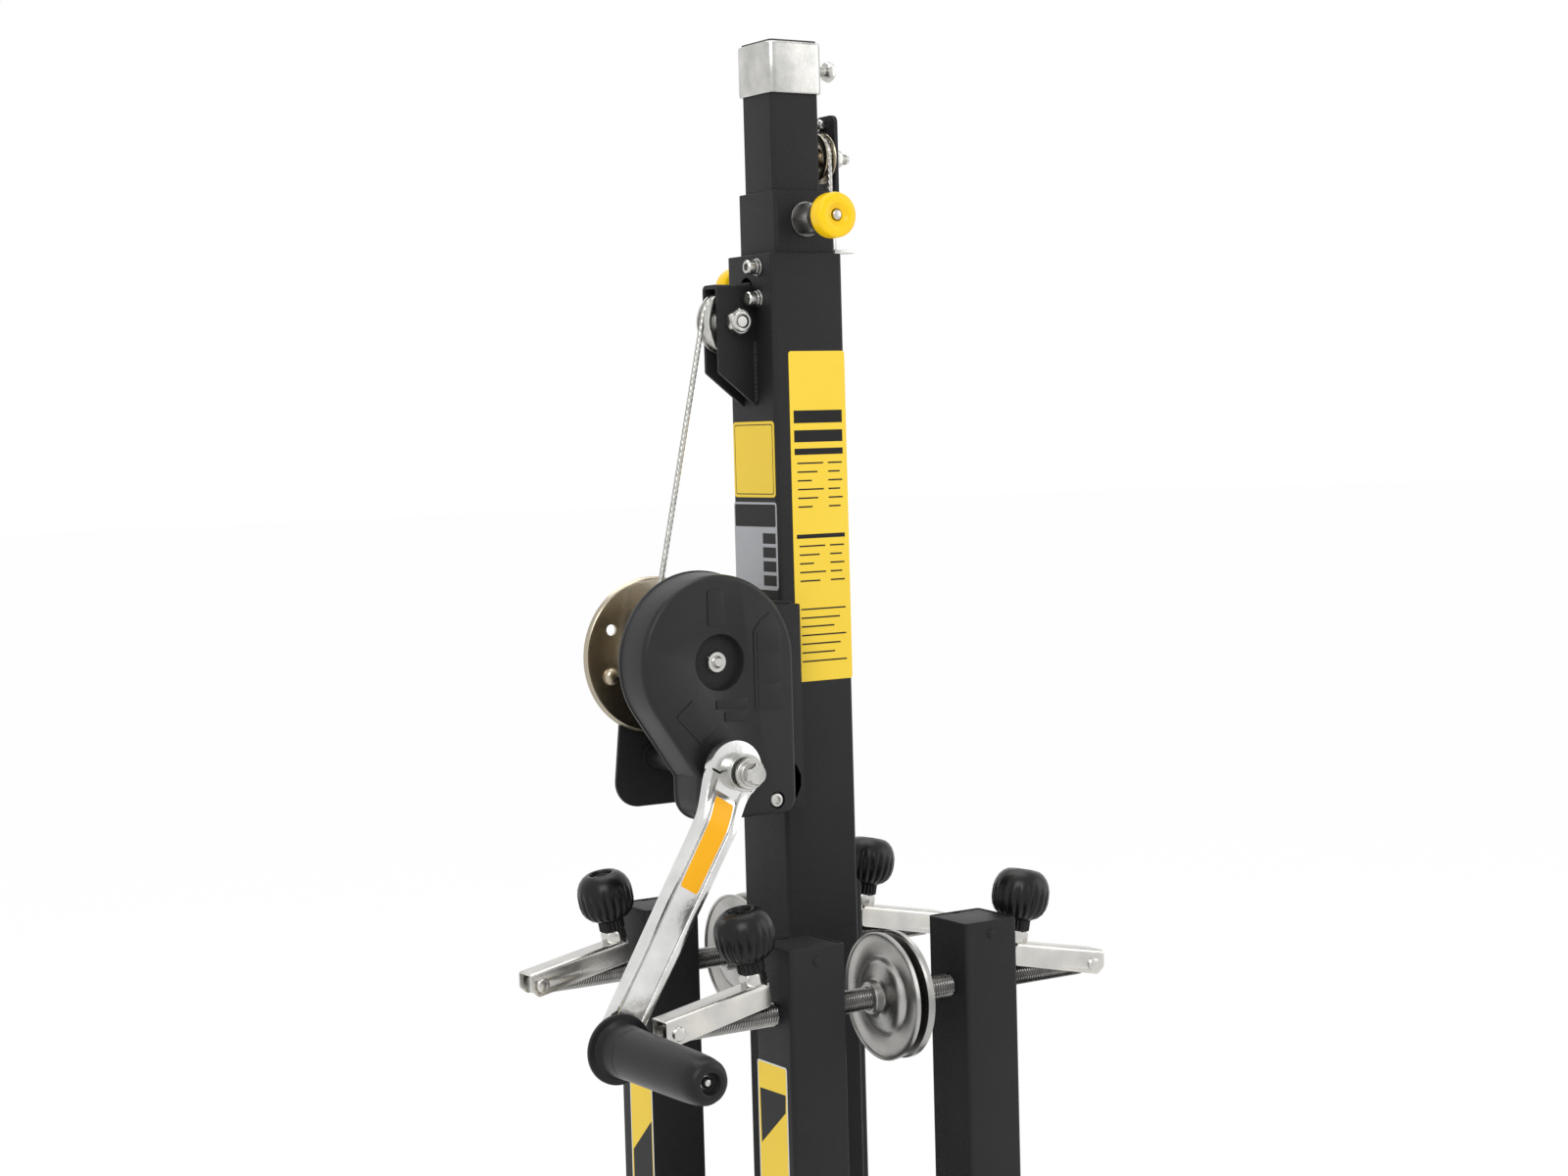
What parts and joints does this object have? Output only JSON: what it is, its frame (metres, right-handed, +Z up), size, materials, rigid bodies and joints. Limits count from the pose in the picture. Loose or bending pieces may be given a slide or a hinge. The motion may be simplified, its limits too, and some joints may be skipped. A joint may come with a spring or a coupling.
{
  "type": "truss lift",
  "caption": "Wind-up lifting tower: a telescopic square mast with a hand winch, wire ropes, locks and stored screw-jack legs.",
  "frame": {"origin": "on the floor under the mast's axis, in the middle of the crossed leg sockets' lower face", "axes": "+Z up the mast; the winch is on the mast's -X face; -Y is the side of the gear cover and the crank"},
  "size_m": [0.4129, 0.434, 1.59],
  "materials": {
    "powder_coat": "fine-textured black powder coat on steel",
    "zinc": "bright zinc plate on steel",
    "passivated_zinc": "zinc plate with a faint gold tint, on steel",
    "gear_steel": "dull greased steel",
    "wire_rope": "galvanised wire rope",
    "black_plastic": "moulded black plastic",
    "grip_plastic": "satin black plastic",
    "yellow_plastic": "glossy signal-yellow plastic",
    "tyre_rubber": "solid black rubber"
  },
  "bodies": {
    "root": {"base_plate": "powder_coat", "sockets_x": "powder_coat", "sockets_y": "powder_coat", "storage_sockets": "powder_coat", "outer_mast": "powder_coat", "mast_liners": "black_plastic", "mast_screws": "zinc", "pulley_bracket": "powder_coat", "outer_lock_sleeve": "powder_coat", "rope_anchor": "zinc", "hoist_rope": "wire_rope", "winch_frame": "powder_coat", "gear_cover": "black_plastic", "drum_axle": "zinc"},
    "drum": {"drum": "passivated_zinc", "drum_gear": "gear_steel", "rope_winding": "wire_rope"},
    "crank": {"pinion_shaft": "gear_steel", "ratchet_wheel": "gear_steel", "crank_arm": "zinc", "crank_bolts": "zinc"},
    "grip": {"crank_grip": "grip_plastic"},
    "pawl": {"pawl": "gear_steel"},
    "top_pulley": {"top_pulley": "zinc"},
    "outer_lock": {"outer_lock_plunger": "yellow_plastic"},
    "wheels": {"wheel_set": "tyre_rubber"},
    "mid_section": {"mid_mast": "powder_coat", "mid_pads": "black_plastic", "mid_lock_sleeve": "powder_coat", "mid_pulley_bracket": "powder_coat", "mid_pulley_bolts": "zinc", "transfer_rope": "wire_rope"},
    "mid_lock": {"mid_lock_plunger": "yellow_plastic"},
    "mid_pulley": {"mid_pulley": "passivated_zinc"},
    "inner_section": {"inner_mast": "powder_coat", "top_collar": "zinc"},
    "trigger_left": {"trigger_left": "yellow_plastic"},
    "trigger_right": {"trigger_right": "yellow_plastic"},
    "trigger_front": {"trigger_front": "yellow_plastic"},
    "trigger_rear": {"trigger_rear": "yellow_plastic"},
    "leg_front_left": {"leg_front_left": "powder_coat"},
    "foot_front_left": {"foot_front_left": "zinc"},
    "screw_front_left": {"screw_front_left": "zinc"},
    "arm_front_left": {"arm_front_left": "zinc"},
    "knob_front_left": {"knob_front_left": "grip_plastic"},
    "leg_front_right": {"leg_front_right": "powder_coat"},
    "foot_front_right": {"foot_front_right": "zinc"},
    "screw_front_right": {"screw_front_right": "zinc"},
    "arm_front_right": {"arm_front_right": "zinc"},
    "knob_front_right": {"knob_front_right": "grip_plastic"},
    "leg_rear_left": {"leg_rear_left": "powder_coat"},
    "foot_rear_left": {"foot_rear_left": "zinc"},
    "screw_rear_left": {"screw_rear_left": "zinc"},
    "arm_rear_left": {"arm_rear_left": "zinc"},
    "knob_rear_left": {"knob_rear_left": "grip_plastic"},
    "leg_rear_right": {"leg_rear_right": "powder_coat"},
    "foot_rear_right": {"foot_rear_right": "zinc"},
    "screw_rear_right": {"screw_rear_right": "zinc"},
    "arm_rear_right": {"arm_rear_right": "zinc"},
    "knob_rear_right": {"knob_rear_right": "grip_plastic"}
  },
  "joints": [
    {"name": "mid_lift", "type": "slide", "parent": "root", "child": "mid_section", "axis": [0, 0, 1], "range_m": [0, 1.205], "deforming": ["hoist_rope", "transfer_rope"]},
    {"name": "inner_lift", "type": "slide", "parent": "mid_section", "child": "inner_section", "axis": [0, 0, 1], "range_m": [0, 1.205]},
    {"name": "top_pulley_spin", "type": "hinge", "parent": "root", "child": "top_pulley", "pos_m": [-0.0461, 0, 1.3917], "axis": [0, -1, 0], "range_deg": [0, 3296]},
    {"name": "mid_pulley_spin", "type": "hinge", "parent": "mid_section", "child": "mid_pulley", "pos_m": [0.0315, 0, 1.5096], "axis": [1, 0, 0], "range_deg": [0, 4829]},
    {"name": "crank_turn", "type": "hinge", "parent": "root", "child": "crank", "pos_m": [-0.1005, 0, 1.08387], "axis": [0, 1, 0], "range_deg": [0, 220]},
    {"name": "drum_turn", "type": "hinge", "parent": "root", "child": "drum", "pos_m": [-0.1005, 0, 1.157], "axis": [0, 1, 0], "range_deg": [-66, 0]},
    {"name": "grip_spin", "type": "hinge", "parent": "crank", "child": "grip", "pos_m": [-0.2053, 0, 0.91072], "axis": [0, 1, 0], "continuous": true},
    {"name": "pawl_lift", "type": "hinge", "parent": "root", "child": "pawl", "pos_m": [-0.0625, 0, 1.09187], "axis": [0, 1, 0], "range_deg": [0, 10], "stiffness_Nm_per_rad": 0.05, "springref_deg": -17.19},
    {"name": "outer_lock_pull", "type": "slide", "parent": "root", "child": "outer_lock", "axis": [0, 1, 0], "range_m": [0, 0.008], "stiffness_N_per_m": 900, "springref_m": -0.006},
    {"name": "mid_lock_pull", "type": "slide", "parent": "mid_section", "child": "mid_lock", "axis": [0, -1, 0], "range_m": [0, 0.008], "stiffness_N_per_m": 900, "springref_m": -0.006},
    {"name": "wheels_roll", "type": "hinge", "parent": "root", "child": "wheels", "pos_m": [0, 0.168, 0.059], "axis": [1, 0, 0], "continuous": true},
    {"name": "trigger_left_pull", "type": "slide", "parent": "root", "child": "trigger_left", "axis": [0, 0, 1], "range_m": [0, 0.01], "stiffness_N_per_m": 600, "springref_m": -0.006},
    {"name": "trigger_right_pull", "type": "slide", "parent": "root", "child": "trigger_right", "axis": [0, 0, 1], "range_m": [0, 0.01], "stiffness_N_per_m": 600, "springref_m": -0.006},
    {"name": "trigger_front_pull", "type": "slide", "parent": "root", "child": "trigger_front", "axis": [0, 0, 1], "range_m": [0, 0.01], "stiffness_N_per_m": 600, "springref_m": -0.006},
    {"name": "trigger_rear_pull", "type": "slide", "parent": "root", "child": "trigger_rear", "axis": [0, 0, 1], "range_m": [0, 0.01], "stiffness_N_per_m": 600, "springref_m": -0.006},
    {"name": "leg_lift_front_left", "type": "slide", "parent": "root", "child": "leg_front_left", "axis": [0, 0, 1], "range_m": [0, 0.06]},
    {"name": "jack_travel_front_left", "type": "slide", "parent": "leg_front_left", "child": "foot_front_left", "axis": [-1, 0, 0], "range_m": [0, 0.00201]},
    {"name": "jack_turn_front_left", "type": "hinge", "parent": "foot_front_left", "child": "screw_front_left", "pos_m": [0, -0.1095, 0.921], "axis": [1, 0, 0], "range_deg": [0, 360]},
    {"name": "arm_fold_front_left", "type": "hinge", "parent": "screw_front_left", "child": "arm_front_left", "pos_m": [-0.1745, -0.1095, 0.921], "axis": [0, -1, 0], "range_deg": [0, 90]},
    {"name": "knob_spin_front_left", "type": "hinge", "parent": "arm_front_left", "child": "knob_front_left", "pos_m": [-0.1165, -0.1095, 0.97799], "axis": [-0.1938, 0, 0.981], "continuous": true},
    {"name": "leg_lift_front_right", "type": "slide", "parent": "root", "child": "leg_front_right", "axis": [0, 0, 1], "range_m": [0, 0.06]},
    {"name": "jack_travel_front_right", "type": "slide", "parent": "leg_front_right", "child": "foot_front_right", "axis": [1, 0, 0], "range_m": [0, 0.03009]},
    {"name": "jack_turn_front_right", "type": "hinge", "parent": "foot_front_right", "child": "screw_front_right", "pos_m": [0, -0.1095, 0.921], "axis": [1, 0, 0], "range_deg": [0, 5400]},
    {"name": "arm_fold_front_right", "type": "hinge", "parent": "screw_front_right", "child": "arm_front_right", "pos_m": [0.1745, -0.1095, 0.921], "axis": [0, 1, 0], "range_deg": [0, 90]},
    {"name": "knob_spin_front_right", "type": "hinge", "parent": "arm_front_right", "child": "knob_front_right", "pos_m": [0.1165, -0.1095, 0.97799], "axis": [0.1938, 0, 0.981], "continuous": true},
    {"name": "leg_lift_rear_left", "type": "slide", "parent": "root", "child": "leg_rear_left", "axis": [0, 0, 1], "range_m": [0, 0.06]},
    {"name": "jack_travel_rear_left", "type": "slide", "parent": "leg_rear_left", "child": "foot_rear_left", "axis": [-1, 0, 0], "range_m": [0, 0.03009]},
    {"name": "jack_turn_rear_left", "type": "hinge", "parent": "foot_rear_left", "child": "screw_rear_left", "pos_m": [0, 0.084, 0.921], "axis": [1, 0, 0], "range_deg": [0, 5400]},
    {"name": "arm_fold_rear_left", "type": "hinge", "parent": "screw_rear_left", "child": "arm_rear_left", "pos_m": [-0.1745, 0.084, 0.921], "axis": [0, -1, 0], "range_deg": [0, 90]},
    {"name": "knob_spin_rear_left", "type": "hinge", "parent": "arm_rear_left", "child": "knob_rear_left", "pos_m": [-0.1165, 0.084, 0.97799], "axis": [-0.1938, 0, 0.981], "continuous": true},
    {"name": "leg_lift_rear_right", "type": "slide", "parent": "root", "child": "leg_rear_right", "axis": [0, 0, 1], "range_m": [0, 0.06]},
    {"name": "jack_travel_rear_right", "type": "slide", "parent": "leg_rear_right", "child": "foot_rear_right", "axis": [1, 0, 0], "range_m": [0, 0.03009]},
    {"name": "jack_turn_rear_right", "type": "hinge", "parent": "foot_rear_right", "child": "screw_rear_right", "pos_m": [0, 0.084, 0.921], "axis": [1, 0, 0], "range_deg": [0, 5400]},
    {"name": "arm_fold_rear_right", "type": "hinge", "parent": "screw_rear_right", "child": "arm_rear_right", "pos_m": [0.1745, 0.084, 0.921], "axis": [0, 1, 0], "range_deg": [0, 90]},
    {"name": "knob_spin_rear_right", "type": "hinge", "parent": "arm_rear_right", "child": "knob_rear_right", "pos_m": [0.1165, 0.084, 0.97799], "axis": [0.1938, 0, 0.981], "continuous": true}
  ],
  "couplings": [
    {"joint": "inner_lift", "follows": "mid_lift", "ratio": 1},
    {"joint": "top_pulley_spin", "follows": "mid_lift", "rad_per_m": 47.733},
    {"joint": "mid_pulley_spin", "follows": "mid_lift", "rad_per_m": 69.93},
    {"joint": "drum_turn", "follows": "crank_turn", "ratio": -0.3},
    {"joint": "jack_travel_front_left", "follows": "jack_turn_front_left", "m_per_rad": 0.00031831},
    {"joint": "jack_travel_front_right", "follows": "jack_turn_front_right", "m_per_rad": 0.00031831},
    {"joint": "jack_travel_rear_left", "follows": "jack_turn_rear_left", "m_per_rad": 0.00031831},
    {"joint": "jack_travel_rear_right", "follows": "jack_turn_rear_right", "m_per_rad": 0.00031831}
  ]
}
